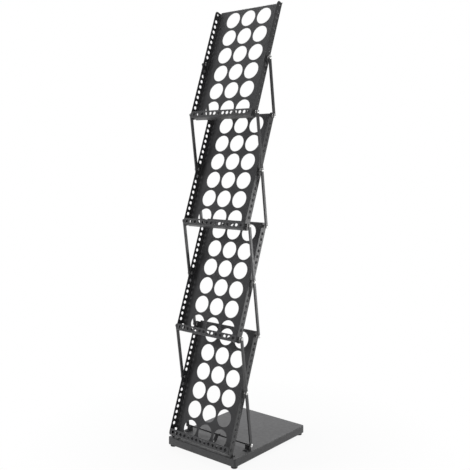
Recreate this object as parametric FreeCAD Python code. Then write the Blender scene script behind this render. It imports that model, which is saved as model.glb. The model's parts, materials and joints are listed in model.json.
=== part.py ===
import FreeCAD, Part
import math
import os

# Folding zigzag display rack: leaning perforated trays joined by scissor bars, standing on a low box base.
# Millimetres, +Z up, +X to the rack's own left-to-right as seen from the front, front towards -Y.
# The origin is on the floor, in the middle of the footprint.

# Linkage
levels = 4
clear_width = 240.0
link_length = 338.0
tray_angle = 70.3
bar_angle = 82.0

# Tray sheet
sheet = 1.2
bend_radius = 1.5
panel_setback = 11.5
flange_reach = 11.5
flange_drop = 15.0
panel_top_rise = 15.0
flange_top_rise = 10.0
flange_round = 10.0
top_return = 4.0
ledge_drop = 12.5
lip_height = 19.0
lip_end_gap = 1.0
lip_leg = 8.0
relief_width = 6.5
relief_margin = 1.5

# Perforation
hole_diameter = 52.0
hole_pitch_across = 60.0
hole_pitch_along = 59.5
hole_columns = 3
hole_rows = 6
small_hole_diameter = 10.0
flange_hole_pitch = 17.5
flange_holes_per_half = 8
lip_hole_pitch = 16.4
lip_holes = 14

# Pivots
shank_radius = 3.0
running_clearance = 0.05
axial_play = 0.1
bushing_length = 6.0
bushing_radius = 4.5
head_radius = 5.5
head_height = 2.6
inner_head_radius = 5.0
inner_head_height = 1.8

# Scissor bars
bar_width = 10.5
bar_thickness = 5.0
bar_edge_radius = 1.4

# Base
base_width = 273.0
base_depth = 356.0
base_corner_radius = 6.0
cover_height = 24.0
cover_edge_radius = 2.0
cover_wall = 1.5
core_gap = 0.3
foot_height = 7.0
foot_radius = 10.0
foot_edge_radius = 1.5
foot_inset = 12.5
foot_plug_radius = 4.0
foot_plug_length = 6.0

# Front hinge
hinge_setback = 3.0
hinge_height = 23.5
ear_thickness = 2.5
ear_half_width = 8.0
ear_gap = 0.3
bracket_plate = 2.0
bracket_width = 23.0
bracket_front = 1.0
bracket_rear = 19.0
bracket_corner_radius = 3.0
bracket_screw_setback = 13.0
bracket_screws = 2
bracket_screw_pitch = 9.0
pin_head_radius = 5.0
pin_head_height = 2.0
pin_end_radius = 4.5
pin_end_height = 1.2

# Cross rod, its rests and its catch
rod_radius = 2.5
rod_end_radius = 2.0
rod_seat_gap = 0.3
rest_width = 15.0
rest_inset = 0.8
rest_plate = 2.5
rest_front = 17.0
rest_rear = 4.0
rest_wall = 3.0
rest_wall_rise = 1.0
rest_floor_fall = 0.9
rest_round = 1.5
rest_screw_setback = 12.0
catch_width = 12.0
catch_sheet = 1.5
catch_bend_radius = 1.5
catch_gap = 0.4
catch_foot_front = 33.0
catch_foot_rear = 17.0
catch_screw_setback = 25.0
catch_tail = 2.0

# Screws
screw_radius = 2.0
screw_length = 14.0
screw_head_radius = 3.8
screw_head_height = 2.0

# Cuts run past the faces that they cut by this much
overrun = 5.0

# Worked-out places
half_link = link_length / 2
clear_half = clear_width / 2
flange_outer = clear_half + sheet
flange_bottom = -half_link - flange_drop
flange_top = half_link + flange_top_rise
panel_top = half_link + panel_top_rise
panel_middle = panel_setback + sheet / 2
panel_back = panel_setback + sheet
outer_bend = bend_radius + sheet
fold_start = flange_outer - outer_bend
ledge_top = -half_link - ledge_drop
panel_bottom = ledge_top + bend_radius
leg_middle = panel_back + sheet / 2
lip_middle = -flange_reach + sheet / 2
lip_half = clear_half - lip_end_gap
ledge_half = clear_half - relief_width
relief_top = -half_link + ear_half_width + relief_margin
bar_inner = flange_outer + bushing_length + axial_play
bar_outer = bar_inner + bar_thickness
pivot_hole_radius = shank_radius + running_clearance
screw_hole_radius = screw_radius + running_clearance
tray_lean = tray_angle - 90
bar_lean = 90 - bar_angle

# The lip's lower bend is the foremost point of the rack.
# The footprint is centred between it and the base's rear.
tray_turn = math.radians(tray_angle)
lip_bend_up = -ledge_drop - sheet + outer_bend
lip_bend_out = flange_reach - outer_bend
lip_front = lip_bend_up * math.cos(tray_turn) - lip_bend_out * math.sin(tray_turn) - outer_bend
lip_overhang = max(-lip_front - hinge_setback, 0)
base_front = lip_overhang / 2 - base_depth / 2
base_middle = lip_overhang / 2
base_top = foot_height + cover_height

X_AXIS = FreeCAD.Vector(1, 0, 0)
Y_AXIS = FreeCAD.Vector(0, 1, 0)
Z_AXIS = FreeCAD.Vector(0, 0, 1)
ORIGIN = FreeCAD.Vector(0, 0, 0)


def in_xy(p):
    return FreeCAD.Vector(p[0], p[1], 0)


def in_yz(p):
    return FreeCAD.Vector(0, p[0], p[1])


def rounded_face(points, radii, plane):
    """A flat face whose outline is a polygon with each corner rounded by its own radius."""
    spans = []
    edges = []
    count = len(points)
    for i in range(count):
        here = plane(points[i])
        before = (plane(points[i - 1]) - here).normalize()
        after = (plane(points[(i + 1) % count]) - here).normalize()
        half = before.getAngle(after) / 2
        if radii[i] > 0:
            reach = radii[i] / math.tan(half)
            towards = (before + after).normalize()
            middle = here + towards * (radii[i] / math.sin(half) - radii[i])
            start = here + before * reach
            end = here + after * reach
            edges.append(Part.Arc(start, middle, end).toShape())
            spans.append((start, end))
        else:
            spans.append((here, here))
    for i in range(count):
        start = spans[i][1]
        end = spans[(i + 1) % count][0]
        if start.distanceToPoint(end) > Part.Vertex(start).Tolerance:
            edges.append(Part.LineSegment(start, end).toShape())
    return Part.Face(Part.Wire(Part.__sortEdges__(edges)))


def bent_outline(path, thickness, radius):
    """The outline of sheet metal bent along a path: both sides' corners, with the radius of each."""
    left = []
    right = []
    left_radii = []
    right_radii = []
    last = len(path) - 1
    for i in range(last + 1):
        here = in_xy(path[i])
        into = (here - in_xy(path[max(i - 1, 0)])) if i > 0 else (in_xy(path[1]) - here)
        out = (in_xy(path[min(i + 1, last)]) - here) if i < last else into
        into.normalize()
        out.normalize()
        normal_in = FreeCAD.Vector(-into.y, into.x, 0)
        normal_out = FreeCAD.Vector(-out.y, out.x, 0)
        offset = (normal_in + normal_out) * (thickness / 2 / (1 + normal_in.dot(normal_out)))
        turn = into.cross(out).z
        inside = radius if 0 < i < last else 0
        outside = radius + thickness if 0 < i < last else 0
        left.append((here.x + offset.x, here.y + offset.y))
        right.append((here.x - offset.x, here.y - offset.y))
        left_radii.append(inside if turn > 0 else outside)
        right_radii.append(outside if turn > 0 else inside)
    return left + right[::-1], left_radii + right_radii[::-1]


def bent_sheet(path, thickness, radius, plane, start, run):
    """Sheet metal bent along a path in a plane, moved to start and drawn out by run."""
    points, radii = bent_outline(path, thickness, radius)
    face = rounded_face(points, radii, plane)
    face.translate(start)
    return face.extrude(run)


def block(low, high):
    """A box between two corners."""
    size = FreeCAD.Vector(*high) - FreeCAD.Vector(*low)
    return Part.makeBox(size.x, size.y, size.z, FreeCAD.Vector(*low))


def along_x(radius, low, high, y, z):
    """A cylinder along X from low to high."""
    return Part.makeCylinder(radius, high - low, FreeCAD.Vector(low, y, z), X_AXIS)


def along_y(radius, low, high, x, z):
    """A cylinder along Y from low to high."""
    return Part.makeCylinder(radius, high - low, FreeCAD.Vector(x, low, z), Y_AXIS)


def along_z(radius, low, high, x, y):
    """A cylinder along Z from low to high."""
    return Part.makeCylinder(radius, high - low, FreeCAD.Vector(x, y, low), Z_AXIS)


def both_sides(shape):
    """A right-hand piece and its mirror image on the left, as two solids."""
    return Part.makeCompound([shape, shape.mirror(ORIGIN, X_AXIS)])


def on_link(shape, pivot, lean):
    """A piece drawn upright about its middle pivot, turned to its lean and moved to that pivot."""
    placed = shape.copy()
    placed.rotate(ORIGIN, X_AXIS, lean)
    placed.translate(in_yz(pivot))
    return placed


def centred(count, pitch):
    """Evenly spaced places on both sides of zero."""
    return [(i - (count - 1) / 2) * pitch for i in range(count)]


def turned(profile):
    """A solid of revolution about the X axis, from an outline of (x, radius) points."""
    outline = Part.makePolygon([in_xy(p) for p in profile + profile[:1]])
    return Part.Face(outline).revolve(ORIGIN, X_AXIS, 360)


def link_places():
    """The front and middle pivots of every level, level 1 on top, as (y, z)."""
    tray_run = in_xy((math.cos(tray_turn), math.sin(tray_turn))) * half_link
    bar_turn = math.radians(bar_angle)
    bar_run = in_xy((-math.cos(bar_turn), math.sin(bar_turn))) * half_link
    front = in_xy((base_front + hinge_setback, base_top + hinge_height))
    fronts = {}
    middles = {}
    for level in range(levels, 0, -1):
        middle = front + tray_run
        fronts[level] = (front.x, front.y)
        middles[level] = (middle.x, middle.y)
        front = middle + bar_run
    rod = in_xy(middles[levels]) - bar_run
    return fronts, middles, (rod.x, rod.y)


def tray_sheet():
    """Back panel and two side flanges as one channel, its flange ends rounded round the pivots."""
    side = clear_half + sheet / 2
    path = [(-side, -flange_reach), (-side, panel_middle), (side, panel_middle), (side, -flange_reach)]
    run = Z_AXIS * (flange_top - flange_bottom)
    channel = bent_sheet(path, sheet, bend_radius, in_xy, Z_AXIS * flange_bottom, run)
    ends = [(-flange_reach, flange_bottom), (panel_back, flange_bottom)]
    ends += [(panel_back, flange_top), (-flange_reach, flange_top)]
    outline = rounded_face(ends, [flange_round, flange_round, 0, flange_round], in_yz)
    outline.translate(X_AXIS * (-flange_outer - overrun))
    channel = channel.common(outline.extrude(X_AXIS * (2 * (flange_outer + overrun))))
    behind = panel_back + overrun
    above_low = min(panel_top - outer_bend, flange_top)
    above = block((-clear_half, 0, above_low), (clear_half, behind, flange_top + overrun))
    below = block((-clear_half, 0, flange_bottom - overrun), (clear_half, behind, relief_top))
    return channel.cut(above).cut(below)


def corner_reliefs():
    """Cutters that leave room for the hinge ears in the lower corners of a tray."""
    corner = (ledge_half, lip_middle + outer_bend, flange_bottom - overrun)
    return both_sides(block(corner, (clear_half, leg_middle + overrun, relief_top)))


def tray_panel():
    """The same sheet from the top's return down the panel to its lower edge."""
    return_middle = panel_top - sheet / 2
    path = [(panel_middle + top_return, return_middle), (panel_middle, return_middle)]
    path.append((panel_middle, panel_bottom))
    panel = bent_sheet(path, sheet, bend_radius, in_yz, X_AXIS * -fold_start, X_AXIS * (2 * fold_start))
    return panel.cut(corner_reliefs())


def tray_holes():
    """Round holes through the panel, the flanges and the lip, and the pivot holes."""
    cutters = []
    big = hole_diameter / 2
    small = small_hole_diameter / 2
    side = flange_outer + overrun
    for x in centred(hole_columns, hole_pitch_across):
        for z in centred(hole_rows, hole_pitch_along):
            cutters.append(along_y(big, panel_setback - overrun, panel_back + overrun, x, z))
    for z in centred(flange_holes_per_half, flange_hole_pitch):
        cutters.append(along_x(small, -side, side, 0, half_link / 2 + z))
        cutters.append(along_x(small, -side, side, 0, -half_link / 2 - z))
    for z in (-half_link, 0, half_link):
        cutters.append(along_x(pivot_hole_radius, -side, side, 0, z))
    for x in centred(lip_holes, lip_hole_pitch):
        lip_z = ledge_top + lip_height / 2
        cutters.append(along_y(small, -flange_reach - overrun, lip_middle + outer_bend, x, lip_z))
    return Part.makeCompound(cutters)


def make_tray():
    """One perforated tray, upright about its middle pivot: its panel up to the folds and its right-hand flange."""
    folded = tray_sheet().fuse(tray_panel()).removeSplitter().cut(tray_holes())
    front = -flange_reach - overrun
    behind = panel_middle + top_return + overrun
    low = flange_bottom - overrun
    high = flange_top + overrun
    panel = folded.common(block((-fold_start, front, low), (fold_start, behind, high)))
    flange = folded.common(block((fold_start, front, low), (flange_outer + overrun, behind, high)))
    return panel, flange


def make_lip():
    """The strip under a tray: a leg welded behind the panel, the ledge, and the front lip."""
    ledge_middle = ledge_top - sheet / 2
    path = [(leg_middle, ledge_top + lip_leg), (leg_middle, ledge_middle)]
    path += [(lip_middle, ledge_middle), (lip_middle, ledge_top + lip_height)]
    strip = bent_sheet(path, sheet, bend_radius, in_yz, X_AXIS * -lip_half, X_AXIS * (2 * lip_half))
    return strip.cut(corner_reliefs()).cut(tray_holes())


def make_bar(upper, lower, lower_hole_radius):
    """A right-hand flat bar with round ends, reaching upper and lower from the pivot at its origin."""
    half = bar_width / 2
    ends = [(-half, -lower - half), (half, -lower - half), (half, upper + half), (-half, upper + half)]
    face = rounded_face(ends, [half] * len(ends), in_yz)
    face.translate(X_AXIS * bar_inner)
    bar = face.extrude(X_AXIS * bar_thickness)
    rims = [edge for edge in bar.Edges if edge.BoundBox.XLength < bar_edge_radius]
    bar = bar.makeFillet(bar_edge_radius, rims)
    hole_radii = {0: pivot_hole_radius, upper: pivot_hole_radius, -lower: lower_hole_radius}
    for z, radius in hole_radii.items():
        bar = bar.cut(along_x(radius, bar_inner - overrun, bar_outer + overrun, 0, z))
    return bar


def domed_head(start, radius, height):
    """A shallow domed rivet head standing on a plane of constant X."""
    sphere_radius = (radius ** 2 + height ** 2) / (2 * height)
    ball = Part.makeSphere(sphere_radius, FreeCAD.Vector(start + height - sphere_radius, 0, 0))
    return ball.common(block((start, -radius, -radius), (start + height, radius, radius)))


def make_rivet():
    """A right-hand pivot rivet: flat head inside the flange, shank through bushing and bar, dome outside."""
    inner = clear_half - inner_head_height
    head_start = bar_outer + axial_play
    stem = [(inner, 0), (inner, inner_head_radius), (clear_half, inner_head_radius)]
    stem += [(clear_half, shank_radius), (head_start, shank_radius), (head_start, 0)]
    return turned(stem).fuse(domed_head(head_start, head_radius, head_height)).removeSplitter()


def make_bushing():
    """A right-hand bushing on the rivet that keeps a bar off the flange."""
    ring = [(flange_outer, shank_radius), (flange_outer, bushing_radius)]
    ring += [(bar_inner - axial_play, bushing_radius), (bar_inner - axial_play, shank_radius)]
    return turned(ring)


def base_block(inset, edge_radius, low, high):
    """A slab with rounded corners, and a rounded upper edge where edge_radius is given."""
    half_x = base_width / 2 - inset
    half_y = base_depth / 2 - inset
    corners = [(-half_x, -half_y), (half_x, -half_y), (half_x, half_y), (-half_x, half_y)]
    face = rounded_face(corners, [base_corner_radius - inset] * len(corners), in_xy)
    face.translate(FreeCAD.Vector(0, base_middle, low))
    slab = face.extrude(Z_AXIS * (high - low))
    if edge_radius > 0:
        rim = [edge for edge in slab.Edges if edge.BoundBox.ZMin > high - edge_radius]
        slab = slab.makeFillet(edge_radius, rim)
    return slab


def screw_places(fronts, rod):
    """Where each fastener of the base stands, as (x, y, z of its seat)."""
    hinge_y = fronts[levels][0] + bracket_screw_setback
    flat = bracket_width - ear_thickness
    flat_middle = clear_half - ear_gap - ear_thickness - flat / 2
    hinge = []
    rest = []
    for sign in (-1, 1):
        for x in centred(bracket_screws, bracket_screw_pitch):
            hinge.append((sign * (flat_middle + x), hinge_y, base_top + bracket_plate))
        rest_x = bar_inner - rest_inset - rest_width / 2
        rest.append((sign * rest_x, rod[0] - rest_screw_setback, base_top + rest_plate))
    catch = [(0, rod[0] - catch_screw_setback, base_top + catch_sheet)]
    return hinge, rest, catch


def shanks(places, radius):
    """Cutters for the shanks of screws."""
    return Part.makeCompound([along_z(radius, z - screw_length, z + overrun, x, y) for x, y, z in places])


def screws(places):
    """Pan-headed screws, driven down from their seats."""
    solids = []
    for x, y, z in places:
        head = along_z(screw_head_radius, z, z + screw_head_height, x, y)
        rim = [edge for edge in head.Edges if edge.BoundBox.ZMin > z + screw_head_height / 2]
        head = head.makeFillet(screw_head_height / 2, rim)
        solids.append(head.fuse(along_z(screw_radius, z - screw_length, z, x, y)).removeSplitter())
    return Part.makeCompound(solids)


def foot_places():
    """The middles of the four feet."""
    x = base_width / 2 - foot_inset
    y = base_depth / 2 - foot_inset
    return [(sign_x * x, base_middle + sign_y * y) for sign_x in (-1, 1) for sign_y in (-1, 1)]


def foot_plug(x, y):
    """The plug on a foot, which is also the cutter of its socket."""
    return along_z(foot_plug_radius, foot_height, foot_height + foot_plug_length, x, y)


def make_feet():
    """Four round rubber feet, each with a plug that sits in the core."""
    solids = []
    for x, y in foot_places():
        pad = along_z(foot_radius, 0, foot_height, x, y)
        rim = [edge for edge in pad.Edges if edge.BoundBox.ZMax < foot_height / 2]
        solids.append(pad.makeFillet(foot_edge_radius, rim).fuse(foot_plug(x, y)))
    return Part.makeCompound(solids)


def make_core(places):
    """The slab inside the cover, with the sockets of the feet and the pilot holes of the screws."""
    core = base_block(cover_wall + core_gap, cover_edge_radius, foot_height, base_top - cover_wall)
    plugs = [foot_plug(x, y) for x, y in foot_places()]
    return core.cut(Part.makeCompound(plugs)).cut(shanks(places, screw_radius))


def make_cover(places):
    """The pressed cover: a shallow box, open below, with clearance holes for the screws."""
    shell = base_block(0, cover_edge_radius, foot_height, base_top)
    inner_edge = cover_edge_radius - cover_wall
    inside = base_block(cover_wall, inner_edge, foot_height - overrun, base_top - cover_wall)
    return shell.cut(inside).cut(shanks(places, screw_hole_radius))


def make_bracket(hinge, places):
    """Right-hand hinge bracket: a foot screwed to the base and an ear that holds the pin."""
    ear_outer = clear_half - ear_gap
    y, z = hinge
    low = base_top
    foot = [(ear_outer - bracket_width, y - bracket_front), (ear_outer, y - bracket_front)]
    foot += [(ear_outer, y + bracket_rear), (ear_outer - bracket_width, y + bracket_rear)]
    plate = rounded_face(foot, [bracket_corner_radius, 0, 0, bracket_corner_radius], in_xy)
    plate.translate(Z_AXIS * low)
    plate = plate.extrude(Z_AXIS * bracket_plate)
    tab = [(y - bracket_front, low), (y + ear_half_width, low), (y + ear_half_width, z + ear_half_width)]
    tab += [(y - ear_half_width, z + ear_half_width), (y - ear_half_width, z)]
    ear = rounded_face(tab, [0, 0, ear_half_width, ear_half_width, 0], in_yz)
    ear_inner = ear_outer - ear_thickness
    ear.translate(X_AXIS * ear_inner)
    ear = ear.extrude(X_AXIS * ear_thickness)
    hole = along_x(shank_radius, ear_inner - overrun, ear_outer + overrun, y, z)
    return plate.fuse(ear).removeSplitter().cut(hole).cut(shanks(places, screw_hole_radius))


def make_hinge_pin(hinge):
    """Right-hand hinge pin: headed inside the ear, held in it, with a flat end outside the flange."""
    seat = clear_half - ear_gap - ear_thickness
    head = seat - pin_head_height
    end = flange_outer + axial_play
    tip = end + pin_end_height
    stem = [(head, 0), (head, pin_head_radius), (seat, pin_head_radius), (seat, shank_radius)]
    stem += [(end, shank_radius), (end, pin_end_radius), (tip, pin_end_radius), (tip, 0)]
    pin = turned(stem)
    pin.translate(in_yz(hinge))
    return pin


def make_rod(rod):
    """The rod across the lower ends of the last bars, stepped where it enters them."""
    left = [(-bar_outer, 0), (-bar_outer, rod_end_radius)]
    left += [(-bar_inner, rod_end_radius), (-bar_inner, rod_radius)]
    right = [(-x, radius) for x, radius in reversed(left)]
    bar = turned(left + right)
    bar.translate(in_yz(rod))
    return bar


def make_rest(rod, places):
    """Right-hand rod rest: a screwed foot, a sloping floor under the rod and a low stop before it."""
    y, z = rod
    floor = z - rod_radius - rod_seat_gap
    stop = y - rod_radius - rod_seat_gap
    wall = stop - rest_wall
    front = y - rest_front
    rear = y + rest_rear
    foot_top = base_top + rest_plate
    wall_top = z + rest_wall_rise
    outline = [(front, base_top), (rear, base_top), (rear, floor - rest_floor_fall), (stop, floor)]
    outline += [(stop, wall_top), (wall, wall_top), (wall, foot_top), (front, foot_top)]
    radii = [0, 0, rest_round, 0, 0, rest_round, rest_round, 0]
    face = rounded_face(outline, radii, in_yz)
    face.translate(X_AXIS * (bar_inner - rest_inset - rest_width))
    return face.extrude(X_AXIS * rest_width).cut(shanks(places, screw_hole_radius))


def make_catch(rod, places):
    """The spring catch: a strip screwed down before the rod, which runs over it and hooks behind it."""
    y, z = rod
    over = rod_radius + catch_gap + catch_sheet / 2
    level = base_top + catch_sheet / 2
    path = [(y - catch_foot_front, level), (y - catch_foot_rear, level), (y - over, z + over)]
    path += [(y + over, z + over), (y + over, z - catch_tail)]
    start = X_AXIS * (-catch_width / 2)
    strip = bent_sheet(path, catch_sheet, catch_bend_radius, in_yz, start, X_AXIS * catch_width)
    return strip.cut(shanks(places, screw_hole_radius))


def make_rod_caps(rod):
    """Right-hand domed cap that closes the rod's end on the bar."""
    cap = domed_head(bar_outer, head_radius, head_height)
    cap.translate(in_yz(rod))
    return cap


def build_base(fronts, rod):
    """The base with everything that is screwed to it."""
    hinge_screws, rest_screws, catch_screw = screw_places(fronts, rod)
    all_screws = hinge_screws + rest_screws + catch_screw
    hinge = fronts[levels]
    bracket = make_bracket(hinge, hinge_screws)
    rest = make_rest(rod, rest_screws)
    return {
        "base_cover": make_cover(all_screws),
        "base_core": make_core(all_screws),
        "base_feet": make_feet(),
        "hinge_bracket_right": bracket,
        "hinge_bracket_left": bracket.mirror(ORIGIN, X_AXIS),
        "hinge_pins": both_sides(make_hinge_pin(hinge)),
        "hinge_screws": screws(hinge_screws),
        "rod_rest_right": rest,
        "rod_rest_left": rest.mirror(ORIGIN, X_AXIS),
        "rest_screws": screws(rest_screws),
        "rod_catch": make_catch(rod, catch_screw),
        "catch_screw": screws(catch_screw),
    }


def build_levels(middles, rod):
    """Trays, flanges, lips, bars, rivets and bushings of every level, and the rod under the lowest."""
    nodes = {}
    tray, flange = make_tray()
    lip = make_lip()
    rivets = both_sides(make_rivet())
    bushings = both_sides(make_bushing())
    full_bar = make_bar(half_link, half_link, pivot_hole_radius)
    top_bar = make_bar(0, half_link, pivot_hole_radius)
    lowest_bar = make_bar(half_link, half_link, rod_end_radius)
    for level in range(1, levels + 1):
        middle = middles[level]
        bar = {1: top_bar, levels: lowest_bar}.get(level, full_bar)
        nodes[f"tray_{level}"] = on_link(tray, middle, tray_lean)
        nodes[f"flange_right_{level}"] = on_link(flange, middle, tray_lean)
        nodes[f"flange_left_{level}"] = on_link(flange.mirror(ORIGIN, X_AXIS), middle, tray_lean)
        nodes[f"lip_{level}"] = on_link(lip, middle, tray_lean)
        nodes[f"bar_right_{level}"] = on_link(bar, middle, bar_lean)
        nodes[f"bar_left_{level}"] = on_link(bar.mirror(ORIGIN, X_AXIS), middle, bar_lean)
        pivots = {"middle": 0}
        if level < levels:
            pivots["front"] = -half_link
        if level > 1:
            pivots["rear"] = half_link
        for row, along in pivots.items():
            for name, pair in (("rivets", rivets), ("bushings", bushings)):
                moved = pair.copy()
                moved.translate(Z_AXIS * along)
                nodes[f"{name}_{row}_{level}"] = on_link(moved, middle, tray_lean)
    nodes["cross_rod"] = make_rod(rod)
    nodes["rod_caps"] = both_sides(make_rod_caps(rod))
    return nodes


def main():
    os.makedirs("parts", exist_ok=True)
    fronts, middles, rod = link_places()
    nodes = build_base(fronts, rod)
    nodes.update(build_levels(middles, rod))
    for name, shape in nodes.items():
        shape.exportStep(f"parts/{name}.step")
    print("pieces", len(nodes), "rod", rod, "pivots", fronts, middles)


main()
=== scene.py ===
# %% [markdown]
# # Folding zigzag rack
# This lesson dresses a folding brochure rack. Four perforated steel trays lean back in a scissor linkage
# of flat bars, and the lowest tray is hinged to a low box base. The frame from CAD gives every size and
# every moving body. Here each visible piece gets a smooth surface, worked out with numpy, and a finish
# made of shader nodes.

# %% The frame
import json
import math
import bmesh
import bpy
import numpy as np
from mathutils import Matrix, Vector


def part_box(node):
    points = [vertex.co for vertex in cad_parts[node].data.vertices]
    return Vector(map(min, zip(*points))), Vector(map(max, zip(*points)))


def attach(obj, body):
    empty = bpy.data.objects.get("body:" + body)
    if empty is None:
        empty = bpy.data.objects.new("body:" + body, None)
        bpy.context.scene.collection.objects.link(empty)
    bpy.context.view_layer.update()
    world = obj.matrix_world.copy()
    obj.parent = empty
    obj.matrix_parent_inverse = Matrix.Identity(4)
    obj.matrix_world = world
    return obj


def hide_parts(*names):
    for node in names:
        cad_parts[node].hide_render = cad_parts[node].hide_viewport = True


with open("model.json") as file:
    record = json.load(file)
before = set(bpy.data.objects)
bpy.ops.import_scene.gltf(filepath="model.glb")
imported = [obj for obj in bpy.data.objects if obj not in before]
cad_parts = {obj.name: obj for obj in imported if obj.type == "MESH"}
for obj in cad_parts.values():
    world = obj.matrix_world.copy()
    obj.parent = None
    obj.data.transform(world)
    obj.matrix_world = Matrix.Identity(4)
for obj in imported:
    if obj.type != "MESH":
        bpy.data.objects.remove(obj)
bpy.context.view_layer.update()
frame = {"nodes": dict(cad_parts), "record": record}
MM = 0.001
LEVELS = (1, 2, 3, 4)
TOP = LEVELS[0]
LOWEST = LEVELS[-1]

# %% [markdown]
# Every tray turns on pivots, and the record keeps them with the joints: each tray's front pivot and the
# middle pivot where it crosses its bars. Two unit vectors then give a tray its own axes: one runs up
# along it, and one points out of its back. Reading them here means that nothing has to be placed by eye.

# %% Pivots and the axes of trays and bars
pivots = {joint["name"]: np.array(joint["pos_m"]) for joint in frame["record"]["behaviour"]["joints"]}
middle = {k: pivots[f"bars_{k}_turn"] for k in LEVELS}
front = {k: pivots["fold" if k == LOWEST else f"tray_{k}_turn"] for k in LEVELS}
half_link = np.linalg.norm(middle[LOWEST] - front[LOWEST])
tray_up = (middle[LOWEST] - front[LOWEST]) / half_link
tray_back = np.array((0.0, tray_up[2], -tray_up[1]))
bar_up = (front[LOWEST - 1] - middle[LOWEST]) / half_link
bar_back = np.array((0.0, bar_up[2], -bar_up[1]))
across = np.array((1.0, 0.0, 0.0))


def on_tray(local, level):
    """Points (x, out of the back, up the tray) about a tray's middle pivot, as points of the rack: the
    pivot plus a weighted sum of three axes."""
    return middle[level] + local @ np.stack((across, tray_back, tray_up))


def on_bar(local, level):
    """The same sum for points (x, across the bar, up the bar) about a bar's middle pivot."""
    return middle[level] + local @ np.stack((across, bar_back, bar_up))


print("half link %.4f m" % half_link, "tray up", tray_up.round(3), "bar up", bar_up.round(3))

# %% [markdown]
# A surface here is a grid: rows and columns of points, with a four-sided face between neighbours. Bigger
# pieces are several grids whose borders share points, so merging those points closes the seams. Each
# point can also carry a number from 0 to 1 that says how near it is to a rubbed edge, which the paint
# uses later.

# %% Grids and zippers
def grid(points, worn=None):
    """The points of a (rows, columns, 3) array, the quads between neighbours, and how worn each point
    is."""
    rows, columns = points.shape[:2]
    corner = (np.arange(rows - 1)[:, None] * columns + np.arange(columns - 1)).ravel()
    quads = np.stack((corner, corner + 1, corner + columns + 1, corner + columns), -1)
    worn = np.zeros((rows, columns)) if worn is None else worn
    return points.reshape(-1, 3), quads, worn.ravel()


def zipper(left, right, along):
    """Triangles between two rows of points with different spacing: each short edge joins the other row's
    point that is level with its middle, counted with searchsorted along one coordinate."""
    left_mid = (left[1:, along] + left[:-1, along]) / 2
    right_mid = (right[1:, along] + right[:-1, along]) / 2
    i = np.arange(len(left_mid))
    j = len(left) + np.arange(len(right_mid))
    from_left = np.stack((i, i + 1, len(left) + np.searchsorted(right_mid, left_mid)), -1)
    from_right = np.stack((j + 1, j, np.searchsorted(left_mid, right_mid, side="right")), -1)
    points = np.concatenate((left, right))
    return points, np.concatenate((from_left, from_right)), np.zeros(len(points))


def moved(chunks, place):
    """The same chunks with their points sent through a placing function."""
    return [(place(points), faces, worn) for points, faces, worn in chunks]


print("a grid of 3 by 4 points has", len(grid(np.zeros((3, 4, 3)))[1]), "faces")

# %% [markdown]
# A piece is one mesh with its finish. The mesh is put together from the grids. Sheet metal is drawn as
# its middle surface, and Solidify and Bevel then give it its thickness and its slightly broken edges. The
# piece is told which body it moves with and which finish it takes, and the CAD nodes that it stands for
# are hidden.

# %% From grids to a piece
MERGE = 2e-6
EDGE_STEPS = 2
SHARP = math.radians(50)


def mesh_of(name, chunks):
    """One mesh from several chunks: arrays joined end to end, shared points merged, faces turned
    outwards."""
    starts = np.cumsum([0] + [len(points) for points, _, _ in chunks])
    faces = [face for (_, quads, _), start in zip(chunks, starts) for face in (quads + start).tolist()]
    mesh = bpy.data.meshes.new(name)
    mesh.from_pydata(np.concatenate([points for points, _, _ in chunks]), [], faces)
    wear = mesh.attributes.new("worn", "FLOAT", "POINT")
    wear.data.foreach_set("value", np.concatenate([worn for _, _, worn in chunks]))
    work = bmesh.new()
    work.from_mesh(mesh)
    bmesh.ops.remove_doubles(work, verts=work.verts, dist=MERGE)
    bmesh.ops.dissolve_degenerate(work, edges=work.edges, dist=MERGE)
    bmesh.ops.recalc_face_normals(work, faces=work.faces)
    work.to_mesh(mesh)
    work.free()
    mesh.polygons.foreach_set("use_smooth", np.ones(len(mesh.polygons), bool))
    return mesh


def piece(name, chunks, body, finish, nodes, sheet=0.0, rounding=0.0):
    """A finished piece: its mesh, an optional sheet thickness and edge rounding, its finish, its body and
    the CAD nodes that it stands for."""
    thing = bpy.data.objects.new(name, mesh_of(name, chunks))
    bpy.context.scene.collection.objects.link(thing)
    if sheet:
        wall = thing.modifiers.new("sheet", "SOLIDIFY")
        wall.thickness = sheet
        wall.offset = 0.0
        wall.use_even_offset = True
    if rounding:
        edge = thing.modifiers.new("edges", "BEVEL")
        edge.width = rounding
        edge.segments = EDGE_STEPS
        edge.limit_method = "ANGLE"
        edge.angle_limit = SHARP
        edge.harden_normals = True
    thing.data.materials.append(finish)
    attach(thing, body)
    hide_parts(*nodes)
    return thing


print("points closer than %.3f mm are merged" % (MERGE / MM))

# %% [markdown]
# Every finish is put together from the same few nodes: noise on Object coordinates, a change of its
# range, a mix of two colours and a bump. With a helper for each, a finish takes only a few lines. Object
# coordinates are in metres and move with their piece, so a pattern keeps its size and never slides.

# %% Nodes that all finishes use
def shader(name):
    """A new material, its node tree, its main shader and its Object coordinates."""
    made = bpy.data.materials.new(name)
    made.use_nodes = True
    tree = made.node_tree
    spot = tree.nodes.new("ShaderNodeTexCoord").outputs["Object"]
    return made, tree, tree.nodes["Principled BSDF"], spot


def noise(tree, spot, scale, detail=2.0):
    """Soft noise of a given fineness, in features per metre."""
    node = tree.nodes.new("ShaderNodeTexNoise")
    node.inputs["Scale"].default_value = scale
    node.inputs["Detail"].default_value = detail
    tree.links.new(spot, node.inputs["Vector"])
    return node.outputs["Fac"]


def spread(tree, value, low, high, start=0.3, end=0.7):
    """A value mapped from start..end to low..high."""
    node = tree.nodes.new("ShaderNodeMapRange")
    for name, number in (("From Min", start), ("From Max", end), ("To Min", low), ("To Max", high)):
        node.inputs[name].default_value = number
    tree.links.new(value, node.inputs["Value"])
    return node.outputs["Result"]


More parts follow.
